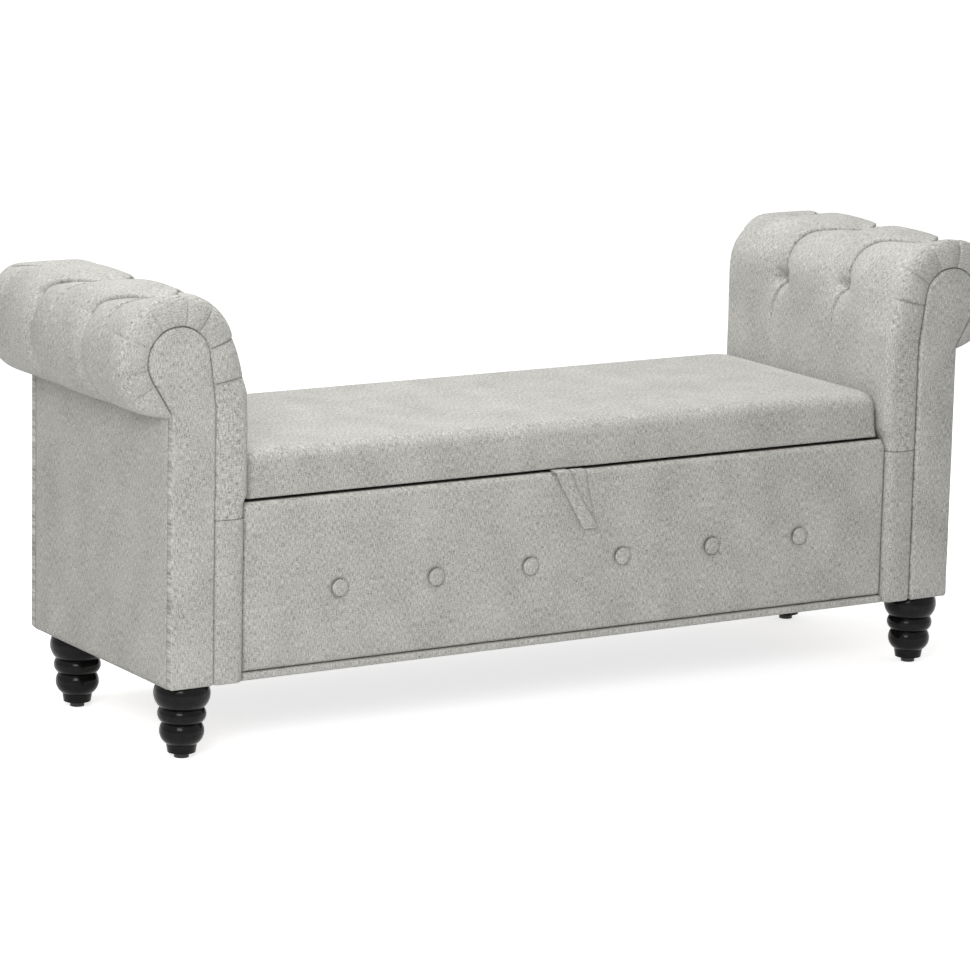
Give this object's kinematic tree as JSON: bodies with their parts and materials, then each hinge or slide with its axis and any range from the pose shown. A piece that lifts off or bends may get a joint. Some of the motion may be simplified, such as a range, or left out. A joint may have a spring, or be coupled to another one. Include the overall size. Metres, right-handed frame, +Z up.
{
  "type": "storage bench",
  "caption": "Upholstered bench with rolled tufted arms, hinged padded lid over a storage box, pull strap, buttoned front panel and turned black legs.",
  "frame": {"origin": "on the floor, under the middle of the bench", "axes": "+X along the bench to the sitter's left, which is the right arm seen from the front; +Y to the back; +Z up"},
  "size_m": [1.504, 0.44, 0.66],
  "materials": {
    "upholstery_fabric": "heathered light grey linen weave",
    "black_lacquer_wood": "black gloss lacquer",
    "glide_plastic": "matte",
    "zinc_steel": "zinc plated",
    "black_painted_steel": "satin black",
    "chrome_rod": "polished",
    "rubber": "matte",
    "lining_cloth": "black non-woven cloth",
    "hardboard": "raw hardboard",
    "pine": "planed softwood",
    "plywood": "raw plywood"
  },
  "bodies": {
    "base": {"arm_bolt_nuts": "zinc_steel", "arm_bolts": "zinc_steel", "arm_left_front_facing": "upholstery_fabric", "arm_left_front_rib": "plywood", "arm_left_inner_board": "plywood", "arm_left_leg_board": "plywood", "arm_left_outer_board": "hardboard", "arm_left_outer_cover": "upholstery_fabric", "arm_left_pad": "upholstery_fabric", "arm_left_rails": "pine", "arm_left_rear_facing": "upholstery_fabric", "arm_left_rear_rib": "plywood", "arm_left_roll_former": "hardboard", "arm_right_front_facing": "upholstery_fabric", "arm_right_front_rib": "plywood", "arm_right_inner_board": "plywood", "arm_right_leg_board": "plywood", "arm_right_outer_board": "hardboard", "arm_right_outer_cover": "upholstery_fabric", "arm_right_pad": "upholstery_fabric", "arm_right_rails": "pine", "arm_right_rear_facing": "upholstery_fabric", "arm_right_rear_rib": "plywood", "arm_right_roll_former": "hardboard", "box_end_panels": "plywood", "box_lining": "lining_cloth", "corner_blocks": "pine", "dust_cover": "lining_cloth", "floor_bearers": "pine", "front_base_strip": "upholstery_fabric", "front_panel_board": "plywood", "front_panel_buttons": "upholstery_fabric", "front_panel_pad": "upholstery_fabric", "hinge_box_leaves": "zinc_steel", "hinge_box_screws": "zinc_steel", "hinge_pins": "zinc_steel", "hinge_rail": "pine", "leg_front_left": "black_lacquer_wood", "leg_front_right": "black_lacquer_wood", "leg_glides": "glide_plastic", "leg_hanger_bolts": "zinc_steel", "leg_rear_left": "black_lacquer_wood", "leg_rear_right": "black_lacquer_wood", "leg_thread_plates": "zinc_steel", "lid_bumpers": "rubber", "rear_panel_board": "plywood", "rear_panel_cover": "upholstery_fabric", "storage_floor": "hardboard", "strut_box_brackets": "zinc_steel"},
    "lid": {"lid_board": "plywood", "seat_cushion": "upholstery_fabric", "lid_lining": "lining_cloth", "hinge_lid_leaves": "zinc_steel", "hinge_lid_screws": "zinc_steel", "strut_lid_brackets": "zinc_steel"},
    "pull_strap": {"pull_strap": "upholstery_fabric"},
    "strut_left_cylinder": {"strut_left_cylinder": "black_painted_steel"},
    "strut_left_rod": {"strut_left_rod": "chrome_rod"},
    "strut_right_cylinder": {"strut_right_cylinder": "black_painted_steel"},
    "strut_right_rod": {"strut_right_rod": "chrome_rod"}
  },
  "joints": [
    {"name": "lid_hinge", "type": "hinge", "parent": "base", "child": "lid", "pos_m": [0, 0.2165, 0.36], "axis": [-1, 0, 0], "range_deg": [0, 85]},
    {"name": "pull_strap_swing", "type": "hinge", "parent": "lid", "child": "pull_strap", "pos_m": [0, -0.2016, 0.36], "axis": [-1, 0, 0], "range_deg": [0, 90]},
    {"name": "strut_left_tilt", "type": "hinge", "parent": "base", "child": "strut_left_cylinder", "pos_m": [-0.529, 0.1638, 0.2273], "axis": [-1, 0, 0], "range_deg": [0, 4.39]},
    {"name": "strut_left_slide", "type": "slide", "parent": "strut_left_cylinder", "child": "strut_left_rod", "axis": [0, 0.1352, 0.9908], "range_m": [0, 0.05227]},
    {"name": "strut_right_tilt", "type": "hinge", "parent": "base", "child": "strut_right_cylinder", "pos_m": [0.529, 0.1638, 0.2273], "axis": [-1, 0, 0], "range_deg": [0, 4.39]},
    {"name": "strut_right_slide", "type": "slide", "parent": "strut_right_cylinder", "child": "strut_right_rod", "axis": [0, 0.1352, 0.9908], "range_m": [0, 0.05227]}
  ],
  "couplings": [
    {"joint": "strut_left_tilt", "follows": "lid_hinge", "ratio": 0.049347},
    {"joint": "strut_left_slide", "follows": "lid_hinge", "m_per_rad": 0.034896},
    {"joint": "strut_right_tilt", "follows": "lid_hinge", "ratio": 0.049347},
    {"joint": "strut_right_slide", "follows": "lid_hinge", "m_per_rad": 0.034896}
  ]
}
